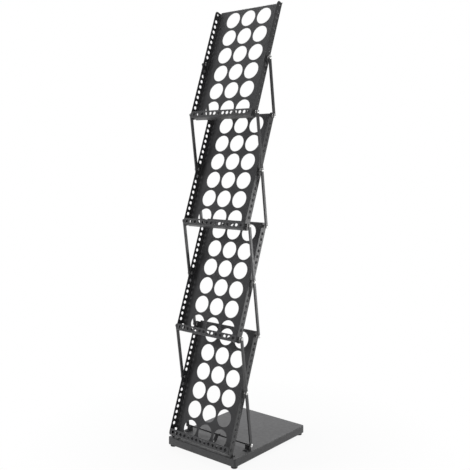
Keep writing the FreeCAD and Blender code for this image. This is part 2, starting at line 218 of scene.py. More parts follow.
def product(tree, one, other):
    """Two values multiplied."""
    node = tree.nodes.new("ShaderNodeMath")
    node.operation = "MULTIPLY"
    tree.links.new(one, node.inputs[0])
    tree.links.new(other, node.inputs[1])
    return node.outputs[0]


def tinted(tree, factor, dark, light):
    """A colour between two others: inputs 6 and 7 of a Mix node are its colours, and output 2 the
    result."""
    node = tree.nodes.new("ShaderNodeMix")
    node.data_type = "RGBA"
    tree.links.new(factor, node.inputs["Factor"])
    for socket, colour in ((6, dark), (7, light)):
        if isinstance(colour, tuple):
            node.inputs[socket].default_value = (*colour, 1.0)
        else:
            tree.links.new(colour, node.inputs[socket])
    return node.outputs[2]


def ripple(tree, bsdf, height, strength, depth):
    """Bump from a height pattern."""
    node = tree.nodes.new("ShaderNodeBump")
    node.inputs["Strength"].default_value = strength
    node.inputs["Distance"].default_value = depth
    tree.links.new(height, node.inputs["Height"])
    tree.links.new(node.outputs["Normal"], bsdf.inputs["Normal"])


print("node helpers", [helper.__name__ for helper in (shader, noise, spread, product, tinted, ripple)])

# %% [markdown]
# The rack is painted with charcoal powder coat. Powder melts into a skin with a faint orange-peel ripple,
# a slightly uneven tone and a satin shine, and it is thinner and a little lighter along punched edges.
# Noises on Object coordinates make the ripple, the tone and the shine, and the worn attribute lightens
# the edges. The lips under the trays are strips of their own, in the same charcoal painted a shade
# lighter: painted light, standing in for the light that falls more fully on the lips than on the panels.

# %% Powder coat
TONE_SCALE = 14.0
RUB_SCALE = 60.0
RUB_LEAST = 0.2
SHINE_SCALE = 90.0
SHINE_RANGE = 0.05
FINE_PEEL = 900.0
FINER_PEEL = 1500.0
PEEL_STRENGTH = 0.25
PEEL_DEPTH = 0.15 * MM


def powder_coat(name, dark, light, edge, peel, gloss):
    """Charcoal powder coat: uneven tone, lighter worn edges, orange-peel ripple and satin shine."""
    made, tree, bsdf, spot = shader(name)
    tone = tinted(tree, spread(tree, noise(tree, spot, TONE_SCALE, detail=4.0), 0.0, 1.0), dark, light)
    worn = tree.nodes.new("ShaderNodeAttribute")
    worn.attribute_name = "worn"
    patches = spread(tree, noise(tree, spot, RUB_SCALE, detail=3.0), RUB_LEAST, 1.0)
    rubbed = product(tree, worn.outputs["Fac"], patches)
    tree.links.new(tinted(tree, rubbed, tone, edge), bsdf.inputs["Base Color"])
    shine = noise(tree, spot, SHINE_SCALE, detail=3.0)
    rough = spread(tree, shine, gloss - SHINE_RANGE, gloss + SHINE_RANGE)
    tree.links.new(rough, bsdf.inputs["Roughness"])
    ripple(tree, bsdf, noise(tree, spot, peel), PEEL_STRENGTH, PEEL_DEPTH)
    return made


tray_paint = powder_coat("charcoal_coat_trays", (0.044, 0.044, 0.046), (0.056, 0.056, 0.058),
                         (0.10, 0.10, 0.104), FINE_PEEL, gloss=0.42)
bar_paint = powder_coat("charcoal_coat_bars", (0.052, 0.052, 0.054), (0.066, 0.066, 0.068),
                        (0.12, 0.12, 0.124), FINE_PEEL, gloss=0.40)
# The lip coat is the tray charcoal with painted light: a shade lighter for the light that the lips catch.
lip_paint_with_painted_light = powder_coat("charcoal_coat_lips", (0.058, 0.058, 0.060), (0.072, 0.072, 0.074),
                        (0.12, 0.12, 0.124), FINE_PEEL, gloss=0.42)
base_paint = powder_coat("charcoal_coat_base", (0.047, 0.047, 0.049), (0.056, 0.056, 0.058),
                         (0.09, 0.09, 0.092), FINER_PEEL, gloss=0.45)
print("coats", [coat.name for coat in (tray_paint, bar_paint, lip_paint_with_painted_light, base_paint)])

# %% [markdown]
# The other finishes are small: zinc-plated rivets and bushings, black steel for the rod and the hinge,
# moulded plastic for the rod rests, rubber feet, and the fibreboard that can be seen under the base. Zinc
# is cloudy and finely scratched, so its noises are much finer than those of paint. The dark ones share
# one recipe.

# %% Metal, plastic, rubber and board
ZINC_CLOUDS = 320.0
ZINC_SCRATCHES = 1800.0
ZINC_GRAIN = 2600.0
ZINC_SMOOTH = 0.08
ZINC_DULL = 0.1
ZINC_STRENGTH = 0.12
ZINC_DEPTH = 0.1 * MM
MOULD_TONE = 70.0
MOULD_SHINE = 240.0
MOULD_RANGE = 0.06
MOULD_STRENGTH = 0.3


def plated(name, dark, light, gloss):
    """Zinc plate: cloudy grey metal with fine scratches in the shine."""
    made, tree, bsdf, spot = shader(name)
    cloud = spread(tree, noise(tree, spot, ZINC_CLOUDS, detail=3.0), 0.0, 1.0)
    tree.links.new(tinted(tree, cloud, dark, light), bsdf.inputs["Base Color"])
    scratches = noise(tree, spot, ZINC_SCRATCHES)
    rough = spread(tree, scratches, gloss - ZINC_SMOOTH, gloss + ZINC_DULL)
    tree.links.new(rough, bsdf.inputs["Roughness"])
    bsdf.inputs["Metallic"].default_value = 1.0
    ripple(tree, bsdf, noise(tree, spot, ZINC_GRAIN), ZINC_STRENGTH, ZINC_DEPTH)
    return made


def moulded(name, dark, light, gloss, grain, depth):
    """Plastic, rubber, board or blackened steel: an uneven tone with fine grain."""
    made, tree, bsdf, spot = shader(name)
    tone = spread(tree, noise(tree, spot, MOULD_TONE, detail=4.0), 0.0, 1.0)
    tree.links.new(tinted(tree, tone, dark, light), bsdf.inputs["Base Color"])
    shine = noise(tree, spot, MOULD_SHINE)
    rough = spread(tree, shine, gloss - MOULD_RANGE, gloss + MOULD_RANGE)
    tree.links.new(rough, bsdf.inputs["Roughness"])
    ripple(tree, bsdf, noise(tree, spot, grain, detail=3.0), MOULD_STRENGTH, depth)
    return made


zinc_steel = plated("zinc_plate", (0.52, 0.52, 0.51), (0.70, 0.70, 0.69), gloss=0.30)
black_steel = moulded("blackened_steel", (0.012, 0.012, 0.013), (0.020, 0.020, 0.021),
                      gloss=0.38, grain=1400.0, depth=0.1 * MM)
black_plastic = moulded("moulded_black_plastic", (0.016, 0.016, 0.017), (0.024, 0.024, 0.025),
                        gloss=0.55, grain=1100.0, depth=0.15 * MM)
# Black rubber is the feet's own colour, taken darker still as painted shade for the feet under the base.
foot_rubber_shaded = moulded("black_rubber", (0.006, 0.006, 0.006), (0.011, 0.010, 0.010),
                      gloss=0.78, grain=700.0, depth=0.2 * MM)
core_board = moulded("raw_fibreboard", (0.33, 0.225, 0.135), (0.47, 0.34, 0.22),
                     gloss=0.82, grain=1600.0, depth=0.3 * MM)
small_finishes = (zinc_steel, black_steel, black_plastic, foot_rubber_shaded, core_board)
print("small finishes", [finish.name for finish in small_finishes])

# %% [markdown]
# A tray is one sheet of 1.2 mm steel: a back panel with eighteen large holes, and a flange down each side
# with a row of small ones. Places are measured from the middle pivot: to the side (x), out of the back (n)
# or up the tray (up). The surface that is drawn is the middle of the sheet, half a thickness below each
# face, because Solidify adds the two halves later.

# %% Sizes of the tray sheet
SHEET = 1.2 * MM
SHEET_EDGE = 0.28 * MM
CLEAR_HALF = 120.0 * MM
FLANGE_X = CLEAR_HALF + SHEET / 2
BEND = 1.5 * MM + SHEET / 2
PANEL_FACE = 11.5 * MM
PANEL_N = PANEL_FACE + SHEET / 2
FLANGE_FRONT = -11.5 * MM
FLANGE_REAR = PANEL_N - BEND
PANEL_EDGE = FLANGE_X - BEND
FLANGE_TOP = half_link + 10.0 * MM
FLANGE_LOW = -half_link - 15.0 * MM
FLANGE_ROUND = 10.0 * MM
PANEL_BEND = half_link + 15.0 * MM - SHEET / 2 - BEND
PANEL_RETURN = 4.0 * MM
PANEL_LOW = -half_link - 11.0 * MM
NOTCH_TOP = -half_link + 9.5 * MM
NOTCH_X = CLEAR_HALF - 6.5 * MM
ROWS = 6
COLUMNS = 3
HOLE = 26.0 * MM
HOLE_PITCH = np.array((60.0, 59.5)) * MM
SMALL_HOLE = 5.0 * MM
PIVOT_HOLE = 3.05 * MM
FLANGE_PITCH = 17.5 * MM
RUN_HOLES = 8
BEND_POINTS = 6
bend_turn = np.linspace(0, math.pi / 2, BEND_POINTS)
print("tray sheet", "%.1f mm between flanges" % (2 * CLEAR_HALF / MM))

# %% [markdown]
# The holes could be cut with booleans, but those leave ragged meshes. Instead each hole sits in a
# rectangle of its own, and rays from the rectangle's border to the circle make a clean ring of faces. The
# rectangles tile the sheet.

# %% A rectangle with a round hole
WORN_REACH = 1.6 * MM
CROWDING = 1.3
CLOSE = 1e-7


def round_hole(border, centre, radius, rings):
    """A flat grid between a closed border and a circle: point = circle + f (border - circle), f from 0 to
    1, with the rings crowded towards the hole."""
    ray = border - centre
    circle = centre + radius * ray / np.linalg.norm(ray, axis=1, keepdims=True)
    f = np.linspace(0, 1, rings + 1)[:, None]
    worn = np.clip(1 - f * np.linalg.norm(border - circle, axis=1) / WORN_REACH, 0, 1)
    return circle + f[..., None] ** CROWDING * (border - circle), worn


def hole_cell(x_lines, y_lines, centre, radius, rings):
    """The same between a circle and a rectangle, whose four sides are walked once round."""
    low = np.stack((x_lines[:-1], np.full(len(x_lines) - 1, y_lines[0])), -1)
    right = np.stack((np.full(len(y_lines) - 1, x_lines[-1]), y_lines[:-1]), -1)
    top = np.stack((x_lines[:0:-1], np.full(len(x_lines) - 1, y_lines[-1])), -1)
    left = np.stack((np.full(len(y_lines) - 1, x_lines[0]), y_lines[:0:-1]), -1)
    return round_hole(np.concatenate((low, right, top, left, low[:1])), centre, radius, rings)


def lines(*stops):
    """Grid lines: each pair (end, count) adds count even steps up to end, after a first value."""
    out = [np.array(stops[:1], float)]
    for end, count in stops[1:]:
        out.append(np.linspace(out[-1][-1], end, count + 1)[1:])
    return np.concatenate(out)


def together(*runs):
    """Several runs of grid lines as one rising row, each line once."""
    return np.unique(np.concatenate(runs).round(9))


def sheet_of(x, n, up):
    """A grid of points from three arrays that numpy stretches to a common shape."""
    return grid(np.stack(np.broadcast_arrays(x, n, up), -1))


print("lines", lines(0, (1, 2), (4, 3)))

# %% [markdown]
# The panel is a block of three by six large cells with plain margins. Its upper edge is folded back into
# a short return, and below the hinge line its two lower corners are notched. All of it lies in one plane,
# so the grids are drawn flat as (x, up) and then lifted to the panel's depth.

# %% Panel with its large holes
CELL_STEPS = 14
NOTCH_STEPS = 4
HOLE_RINGS = 4
MARGIN_STEPS = 4


def cell_lines(i, count, pitch):
    """Grid lines of cell i out of a row of cells that is centred on zero."""
    return lines((i - count / 2) * pitch, ((i + 1 - count / 2) * pitch, CELL_STEPS))


def panel_chunks():
    """Panel grids in tray coordinates: cells, side margins, the strip above the cells and the folded
    return."""
    wide_pitch, high_pitch = HOLE_PITCH
    second_row = (1 - ROWS / 2) * high_pitch
    rows = [lines(PANEL_LOW, (NOTCH_TOP, NOTCH_STEPS), (second_row, CELL_STEPS - NOTCH_STEPS))]
    rows += [cell_lines(i, ROWS, high_pitch) for i in range(1, ROWS)]
    columns = [cell_lines(j, COLUMNS, wide_pitch) for j in range(COLUMNS)]
    chunks = []

    def flat(points, worn=None):
        chunks.append(grid(np.insert(points, 1, PANEL_N, axis=-1), worn))

    for i, ups in enumerate(rows):
        for j, xs in enumerate(columns):
            centre = np.array(((j - (COLUMNS - 1) / 2) * wide_pitch, (i - (ROWS - 1) / 2) * high_pitch))
            flat(*hole_cell(xs, ups, centre, HOLE, HOLE_RINGS))
    ups = together(*rows)
    side = lines(COLUMNS / 2 * wide_pitch, (NOTCH_X, MARGIN_STEPS))
    for sign in (-1, 1):
        flat(np.stack(np.meshgrid(sign * side, ups), -1))
    xs = np.concatenate((-side[::-1], together(*columns)[1:-1], side))
    flat(np.stack(np.meshgrid(xs, lines(ROWS / 2 * high_pitch, (PANEL_BEND, 1))), -1))
    full_width = np.concatenate(([-PANEL_EDGE], xs, [PANEL_EDGE]))
    fold_n = np.concatenate((PANEL_N + BEND * (1 - np.cos(bend_turn)), [PANEL_N + PANEL_RETURN]))
    fold_up = np.concatenate((PANEL_BEND + BEND * np.sin(bend_turn), [PANEL_BEND + BEND]))
    chunks.append(sheet_of(full_width, fold_n[:, None], fold_up[:, None]))
    seam = np.concatenate((ups[ups >= NOTCH_TOP - CLOSE], [PANEL_BEND]))
    return chunks, seam


panel, panel_seam = panel_chunks()
print("panel faces", sum(len(faces) for _, faces, _ in panel), "seam points", len(panel_seam))

# %% [markdown]
# Each flange is folded forward from the panel on a small radius. Its ends are rounded round the pivots,
# so its front and rear edges are functions of height. The outline of an end then follows from the two
# edges.

# %% Edges of a flange
def flange_front(up):
    """Front edge against height: straight, then a quarter circle at both ends."""
    r = FLANGE_ROUND
    past = np.maximum(up - (FLANGE_TOP - r), 0) + np.maximum(FLANGE_LOW + r - up, 0)
    return FLANGE_FRONT + r - np.sqrt(np.maximum(r ** 2 - past ** 2, 0))


def flange_rear(up):
    """Rear edge against height: the start of the fold, and a quarter circle at the lower end."""
    r = FLANGE_ROUND
    past = np.minimum(np.maximum(FLANGE_LOW + r - up, 0), r)
    return np.minimum(PANEL_N + SHEET / 2 - r + np.sqrt(r ** 2 - past ** 2), FLANGE_REAR)


def flange_end(ns, ups):
    """Border of a flange's end: along its bottom, up its rear edge, back along its top and down its front
    edge."""
    fore = flange_front(ups)
    rear = flange_rear(ups)
    share = (ns - ns[0]) / (ns[-1] - ns[0])
    bottom = np.stack((fore[0] + share * (rear[0] - fore[0]), np.full(len(ns), ups[0])), -1)
    top = np.stack((fore[-1] + share * (rear[-1] - fore[-1]), np.full(len(ns), ups[-1])), -1)
    rise = np.stack((rear, ups), -1)
    fall = np.stack((fore, ups), -1)
    return np.concatenate((bottom[:-1], rise[:-1], top[:0:-1], fall[:0:-1], bottom[:1]))


print("flange depth %.1f mm" % ((flange_rear(0.0) - flange_front(0.0)) / MM))

# %% [markdown]
# The flange's small holes are cells again, in two runs of eight on each side of the middle pivot, and the
# pivots have holes of their own. The holes are spaced more closely than the panel's grid lines, so a
# zipper of triangles on the flat margin joins the two spacings. One sheet serves all four trays.

# %% Flanges and whole trays
SMALL_STEPS = 7
SMALL_RINGS = 2
PIVOT_RINGS = 4
DEPTH_STEPS = 4
ROUND_POINTS = 9
END_LINES = 6
GAP_LINES = 3
MIDDLE_LINES = 8


def flange_chunks(sign):
    """Flange grids of one side in tray coordinates: hole cells, pivot holes between them, fold and
    zipper."""
    ns = lines(FLANGE_FRONT, (0, DEPTH_STEPS), (FLANGE_REAR, DEPTH_STEPS))
    first = half_link / 2 - RUN_HOLES / 2 * FLANGE_PITCH
    last = half_link / 2 + RUN_HOLES / 2 * FLANGE_PITCH
    chunks = []

    def on_side(points, worn):
        chunks.append(grid(np.insert(points, 0, sign * FLANGE_X, axis=-1), worn))

    for i in range(RUN_HOLES):
        cell = lines(first + i * FLANGE_PITCH, (first + (i + 1) * FLANGE_PITCH, SMALL_STEPS))
        for ups in (cell, -cell[::-1]):
            on_side(*hole_cell(ns, ups, np.array((0.0, ups.mean())), SMALL_HOLE, SMALL_RINGS))
    end_turn = FLANGE_ROUND * np.sin(np.linspace(0, math.pi / 2, ROUND_POINTS))
    low_turn = FLANGE_LOW + FLANGE_ROUND
    high_turn = FLANGE_TOP - FLANGE_ROUND
    low_run = lines(low_turn, (NOTCH_TOP, END_LINES), (-last, GAP_LINES))
    low = together(low_turn - end_turn, low_run)
    between = lines(-first, (first, MIDDLE_LINES))
    high = together(lines(last, (high_turn, END_LINES)), high_turn + end_turn)
    for ups, pivot in ((low, -half_link), (between, 0.0), (high, half_link)):
        on_side(*round_hole(flange_end(ns, ups), np.array((0.0, pivot)), PIVOT_HOLE, PIVOT_RINGS))
    cells = np.linspace(first, last, RUN_HOLES * SMALL_STEPS + 1)
    seam = together(low[low >= NOTCH_TOP - CLOSE], -cells, between, cells, high)
    fold_x = sign * (PANEL_EDGE + BEND * np.cos(bend_turn))
    fold_n = FLANGE_REAR + BEND * np.sin(bend_turn)
    chunks.append(sheet_of(fold_x[:, None], fold_n[:, None], seam))
    outer = np.append(seam, PANEL_BEND)
    outer_row = np.stack(np.broadcast_arrays(sign * PANEL_EDGE, PANEL_N, outer), -1)
    inner_row = np.stack(np.broadcast_arrays(sign * NOTCH_X, PANEL_N, panel_seam), -1)
    chunks.append(zipper(outer_row, inner_row, 2))
    return chunks


tray_sheet = panel + flange_chunks(1) + flange_chunks(-1)
for k in LEVELS:
    chunks = moved(tray_sheet, lambda p: on_tray(p, k))
    nodes = [f"tray_{k}", f"flange_right_{k}", f"flange_left_{k}"]
    made = piece(f"tray_{k}_folded", chunks, f"tray_{k}", tray_paint, nodes,
                 SHEET, SHEET_EDGE)
print("tray faces before thickness", len(made.data.polygons))

# %% [markdown]
# Under each tray a second strip is welded: a short leg behind the panel, a ledge that the sheets stand
# on, and a front lip with fourteen small holes. It is a profile carried across the tray, with the lip's
# flat part again made of cells.

# %% Lips
LIP_N = FLANGE_FRONT + SHEET / 2
LEDGE_U = -half_link - 12.5 * MM - SHEET / 2
LEG_N = PANEL_FACE + 1.5 * SHEET
LEG_TOP = -half_link - 4.5 * MM
LIP_TOP = -half_link + 6.5 * MM
LIP_ROW = -half_link - 3.0 * MM
LIP_HALF = CLEAR_HALF - 1.0 * MM
LIP_PITCH = 16.4 * MM
LIP_HOLES = 14
LIP_STEPS = 6
LIP_LINES = 3
LEDGE_STEPS = 4
LEG_POINTS = 4


def leg_top(x):
    """The leg's upper edge against x: level, cut away in arcs where the panel's lowest holes pass."""
    column = np.round(np.clip(x / HOLE_PITCH[0], -1, 1)) * HOLE_PITCH[0]
    off = np.abs(x - column)
    rim = -(ROWS - 1) / 2 * HOLE_PITCH[1] - np.sqrt(np.maximum(HOLE ** 2 - off ** 2, 0))
    return np.where(off < HOLE, np.minimum(rim, LEG_TOP), LEG_TOP)


def lip_columns():
    """Grid lines of the lip's cells, with one line of the end cells on the edge of the panel's notch."""
    starts = (np.arange(LIP_HOLES) - LIP_HOLES / 2) * LIP_PITCH
    columns = [lines(x, (x + LIP_PITCH, LIP_STEPS)) for x in starts]
    columns[0] = lines(starts[0], (-NOTCH_X, 1), (starts[0] + LIP_PITCH, LIP_STEPS - 1))
    columns[-1] = lines(starts[-1], (NOTCH_X, LIP_STEPS - 1), (starts[-1] + LIP_PITCH, 1))
    return columns


def lip_chunks():
    """Lip, ledge and leg grids in tray coordinates: cells and ends of the lip, then the strip's bends and
    flats."""
    low = LEDGE_U + BEND
    ups = lines(low, (LIP_ROW, LIP_LINES), (LIP_TOP, LIP_LINES))
    columns = lip_columns()
    chunks = []
    for xs in columns:
        centre = np.array(((xs[0] + xs[-1]) / 2, LIP_ROW))
        points, worn = hole_cell(xs, ups, centre, SMALL_HOLE, SMALL_RINGS)
        chunks.append(grid(np.insert(points, 1, LIP_N, axis=-1), worn))
    for sign in (-1, 1):
        end = lines(LIP_HOLES / 2 * LIP_PITCH, (LIP_HALF, 1))
        chunks.append(sheet_of(sign * end, LIP_N, ups[:, None]))
    xs = together(*columns, [-LIP_HALF, LIP_HALF])
    inner = xs[np.abs(xs) <= NOTCH_X + CLOSE]
    front_n = LIP_N + BEND * (1 - np.cos(bend_turn))
    front_up = low - BEND * np.sin(bend_turn)
    chunks.append(sheet_of(xs, front_n[:, None], front_up[:, None]))
    ledge_n = lines(LIP_N + BEND, (LEG_N - BEND, LEDGE_STEPS))
    chunks.append(sheet_of(inner, ledge_n[:, None], LEDGE_U))
    rear_n = LEG_N - BEND * (1 - np.sin(bend_turn))
    rear_up = low - BEND * np.cos(bend_turn)
    chunks.append(sheet_of(inner, rear_n[:, None], rear_up[:, None]))
    rise = np.linspace(0, 1, LEG_POINTS)[:, None] * (leg_top(inner) - low)
    chunks.append(sheet_of(inner, LEG_N, low + rise))
    return chunks


lip_strip = lip_chunks()
for k in LEVELS:
    chunks = moved(lip_strip, lambda p: on_tray(p, k))
    made = piece(f"lip_{k}_folded", chunks, f"tray_{k}", lip_paint_with_painted_light, [f"lip_{k}"],
                 SHEET, SHEET_EDGE)
print("lip faces before thickness", len(made.data.polygons))

# %% [markdown]
# The scissor bars are flat steel with round ends and softened edges. Seen from the side such a bar is a
# stadium: two half circles joined by straight lines. Drawing that outline again and again, a little
# smaller or higher each time, carries it over the rounded edge and across the face until it closes on the
# bar's middle line.

# %% Scissor bars
BAR_HALF = 5.25 * MM
BAR_THICK = 5.0 * MM
BAR_EDGE = 1.4 * MM
BAR_GAP = 6.1 * MM
BAR_X = CLEAR_HALF + SHEET + BAR_GAP
END_POINTS = 17
SIDE_POINTS = 22
EDGE_POINTS = 6
BAR_WEAR = 0.8
WEAR_PLACE = 0.3 * BAR_EDGE
WEAR_WIDTH = 0.35 * BAR_EDGE


def stadium(upper, lower):
    """Outline of a bar as (across, up, end) per point: a point's place is r (across, up) plus its end's
    height."""
    turn = np.linspace(-math.pi / 2, math.pi / 2, END_POINTS)
    run = np.linspace(0, 1, SIDE_POINTS + 2)[1:-1] * (upper + lower)
    ones = np.ones(SIDE_POINTS)
    up_end = np.stack((np.sin(turn), np.cos(turn), np.full(END_POINTS, upper)), -1)
    down_side = np.stack((ones, 0 * ones, upper - run), -1)
    low_end = np.stack((-np.sin(turn), -np.cos(turn), np.full(END_POINTS, -lower)), -1)
    up_side = np.stack((-ones, 0 * ones, -lower + run), -1)
    return np.concatenate((up_end, down_side, low_end, up_side, up_end[:1]))


def bar_chunk(upper, lower, sign):
    """A closed bar in bar coordinates: rings of a stadium, inset and raised along a profile with rounded
    edges."""
    outline = stadium(upper, lower)
    quarter = np.linspace(0, math.pi / 2, EDGE_POINTS)
    out = BAR_EDGE * (1 - np.sin(quarter))
    back = BAR_EDGE * (1 - np.cos(quarter))
    inset = np.concatenate(([BAR_HALF], out, back, [BAR_HALF]))
    height = np.concatenate(([0], back, BAR_THICK - out, [BAR_THICK]))
    r = (BAR_HALF - inset)[:, None]
    shape = (len(inset), len(outline))
    xs = np.broadcast_to(sign * (BAR_X + height)[:, None], shape)
    rub = np.exp(-((inset - WEAR_PLACE) / WEAR_WIDTH) ** 2)
    worn = BAR_WEAR * np.broadcast_to(rub[:, None], shape)
    return grid(np.stack((xs, r * outline[:, 0], r * outline[:, 1] + outline[:, 2]), -1), worn)


for k in LEVELS:
    for side, sign in (("right", 1), ("left", -1)):
        bar = [bar_chunk(0.0 if k == TOP else half_link, half_link, sign)]
        chunks = moved(bar, lambda p: on_bar(p, k))
        node = f"bar_{side}_{k}"
        made = piece(f"{node}_flat", chunks, f"bars_{k}", bar_paint, [node])
print("bar faces", len(made.data.polygons))

# %% [markdown]
# Every crossing has a zinc-plated rivet: a flat head inside the flange and a domed one outside the bar. A
# bushing on its shank keeps the bar off the flange. Both are turned shapes, so a profile of (x, radius)
# points is spun about X.

# %% Turned profiles
SPIN_STEPS = 40
SHANK = 3.0 * MM
HEAD = 5.0 * MM
HEAD_RISE = 1.8 * MM
HEAD_ROUND = 0.7 * MM
HEAD_RING = 0.1 * MM
HEAD_STEPS = 4
DOME = 5.5 * MM
DOME_RISE = 2.6 * MM
DOME_RIM = 0.4 * MM
DOME_BREAK = 0.3 * MM
DOME_STEPS = 10
RIVET_PLAY = 0.1 * MM
BUSHING = 4.5 * MM
BUSHING_LONG = 6.0 * MM
CHAMFER = 0.4 * MM


def spun(profile):
    """A surface of revolution about X: (x, r cos a, r sin a) for every point (x, r) of a profile and
    every angle a."""
    turn = np.linspace(0, 2 * math.pi, SPIN_STEPS + 1)
    x, r = np.array(profile, float).T[..., None]
    return np.stack(np.broadcast_arrays(x, r * np.cos(turn), r * np.sin(turn)), -1)


def arc(centre, radius, start, end, steps):
    """Points of a circle's arc in the profile plane, between two angles in degrees."""
    turn = np.radians(np.linspace(start, end, steps + 1))
    return np.stack((centre[0] + radius * np.cos(turn), centre[1] + radius * np.sin(turn)), -1).tolist()


def dome(start):
    """Profile of a domed head: a short rim with a broken edge, then a spherical cap of radius (a^2 + h^2)
    / 2h."""
    cap = DOME_RISE - DOME_RIM
    ball = (DOME ** 2 + cap ** 2) / (2 * cap)
    edge = math.degrees(math.asin(DOME / ball))
    rim = [(start, DOME - DOME_BREAK), (start + DOME_RIM / 2, DOME)]
    return rim + arc((start + DOME_RISE - ball, 0), ball, edge, 0, DOME_STEPS)


def rivet_profile():
    """Profile of a rivet, from the middle of its inner head to the top of its dome."""
    inner = CLEAR_HALF - HEAD_RISE
    seat = BAR_X + BAR_THICK + RIVET_PLAY
    head = [(inner, 0), (inner, HEAD - HEAD_ROUND - HEAD_RING)]
    head += arc((inner + HEAD_ROUND, HEAD - HEAD_ROUND), HEAD_ROUND, 180, 90, HEAD_STEPS)
    shank = [(CLEAR_HALF, HEAD), (CLEAR_HALF, SHANK), (seat, SHANK)]
    return head + shank + dome(seat)


def bushing_profile():
    """Closed profile of a bushing with small chamfers."""
    low = CLEAR_HALF + SHEET
    high = low + BUSHING_LONG
    inside = [(low, SHANK), (low, BUSHING - CHAMFER), (low + CHAMFER, BUSHING)]
    outside = [(high - CHAMFER, BUSHING), (high, BUSHING - CHAMFER), (high, SHANK), (low, SHANK)]
    return inside + outside


rivet = spun(rivet_profile())
bushing = spun(bushing_profile())
print("rivet faces", len(rivet) * SPIN_STEPS, "bushing faces", len(bushing) * SPIN_STEPS)

# %% [markdown]
# The top tray has no bars above it and the lowest one turns on the hinge, so not every tray has a rivet
# at each of its three heights. A small table of heights per level says where the pairs go.

# %% Rivets and bushings in their places
def pair(points):
    """A right-hand grid and its mirror image."""
    return [grid(points), grid(points * (-1, 1, 1))]


def pivot_rows(level):
    """The crossings of a level that carry rivets, with their heights on the tray."""
    rows = {"middle": 0.0}
    if level < LOWEST:
        rows["front"] = -half_link
    if level > TOP:
        rows["rear"] = half_link
    return rows


for k in LEVELS:
    for row, up in pivot_rows(k).items():
        for kind, shape in (("rivets", rivet), ("bushings", bushing)):
            chunks = moved(pair(shape), lambda p: on_tray(p + (0, 0, up), k))
            node = f"{kind}_{row}_{k}"
            piece(f"{node}_turned", chunks, f"tray_{k}", zinc_steel, [node])
print("pairs of rivets", sum(len(pivot_rows(k)) for k in LEVELS))

# %% [markdown]
# The base is a shallow pressed cover over a board. Its outline is a rectangle with rounded corners, and
# its upper edge is rounded too. As with the bars, the outline is carried along a profile: up the wall,
# over the edge and in to the middle. The inner wall is carried the same way, so that the cover has real
# thickness.

# %% Base cover
base_low, base_high = (np.array(corner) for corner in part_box("base_cover"))
base_half = (base_high - base_low)[:2] / 2
base_centre = (base_high + base_low)[:2] / 2
CORNER = 6.0 * MM
CORNER_POINTS = 13
COVER_EDGE = 2.0 * MM
COVER_POINTS = 9
COVER_WALL = 1.5 * MM
COVER_RIM = 0.4 * MM
NEAR_EDGE = 3 * MM
FAR_IN = 60 * MM
WALL_FOOT = 4 * MM
COVER_WEAR = 0.5
COVER_WEAR_PLACE = 1.2 * MM
COVER_WEAR_WIDTH = 1.0 * MM


def rounded_outline(inset):
    """Rings of a rounded rectangle for an array of insets: corner centres plus the corner radius times a
    quarter turn."""
    r = np.maximum(CORNER - inset, 0)[:, None]
    quarters = [np.linspace(0, 90, CORNER_POINTS) + 90 * i for i in range(4)]
    turn = np.radians(np.concatenate(quarters))
    sign = np.repeat(np.array(((1, 1), (-1, 1), (-1, -1), (1, -1))), CORNER_POINTS, axis=0)
    half = base_half - np.maximum(inset, 0)[:, None]
    x = sign[:, 0] * (half[:, :1] - r) + r * np.cos(turn)
    y = sign[:, 1] * (half[:, 1:] - r) + r * np.sin(turn)
    ring = np.stack((x, y), -1)
    return np.concatenate((ring, ring[:, :1]), axis=1) + base_centre


def cover_profile():
    """(inset, height) from the middle of the inner top, down the inner wall, round the rim, up and over
    the outside."""
    quarter = np.linspace(0, math.pi / 2, COVER_POINTS)
    low, high = base_low[2], base_high[2]
    under = high - COVER_WALL
    inner = COVER_EDGE - COVER_WALL
    flat = np.array((COVER_EDGE + NEAR_EDGE, FAR_IN, base_half[0]))
    inner_bend = COVER_EDGE - inner * np.sin(quarter)
    outer_bend = COVER_EDGE * (1 - np.cos(quarter))
    inset = np.concatenate((flat[::-1], inner_bend, [COVER_WALL, COVER_RIM, 0, 0], outer_bend, flat))
    inner_drop = under - inner * (1 - np.cos(quarter))
    outer_rise = high - COVER_EDGE * (1 - np.sin(quarter))
    rim = [low, low, low + COVER_RIM, low + WALL_FOOT]
    height = np.concatenate(([under] * len(flat), inner_drop, rim, outer_rise, [high] * len(flat)))
    return inset, height


inset, height = cover_profile()
cover_rings = rounded_outline(inset)
cover_height = np.broadcast_to(height[:, None, None], (*cover_rings.shape[:2], 1))
cover = np.concatenate((cover_rings, cover_height), -1)
cover_rub = COVER_WEAR * np.exp(-((inset - COVER_WEAR_PLACE) / COVER_WEAR_WIDTH) ** 2)
cover_worn = np.broadcast_to(cover_rub[:, None], cover_rings.shape[:2])
made = piece("base_cover_pressed", [grid(cover, cover_worn)], "base", base_paint,
             ["base_cover"])
print("cover faces", len(made.data.polygons))

# %% [markdown]
# Four rubber feet keep the base off the floor. Each is turned, with a rounded tread edge, a shallow
# hollow below and a plug that goes up into the base. The turned shape is spun about X as before and then
# stood on end.

# %% Feet
FOOT = 10.0 * MM
FOOT_INSET = 12.5 * MM
FOOT_ROUND = 1.5 * MM
FOOT_HOLLOW = 0.8 * MM
HOLLOW_FLAT = 4.0 * MM
HOLLOW_SIDE = 5.0 * MM
HOLLOW_BREAK = 0.3 * MM
TREAD_IN = 5.6 * MM
TREAD_OUT = 8.3 * MM
TREAD_STEPS = 6
PLUG = 4.0 * MM
PLUG_LONG = 6.0 * MM


def standing(profile, places):
    """Turned shapes that stand on Z at several places: the spun surface with its X axis sent to Z."""
    shape = spun(profile)[..., [1, 2, 0]]
    return [grid(shape + np.array(place)) for place in places]


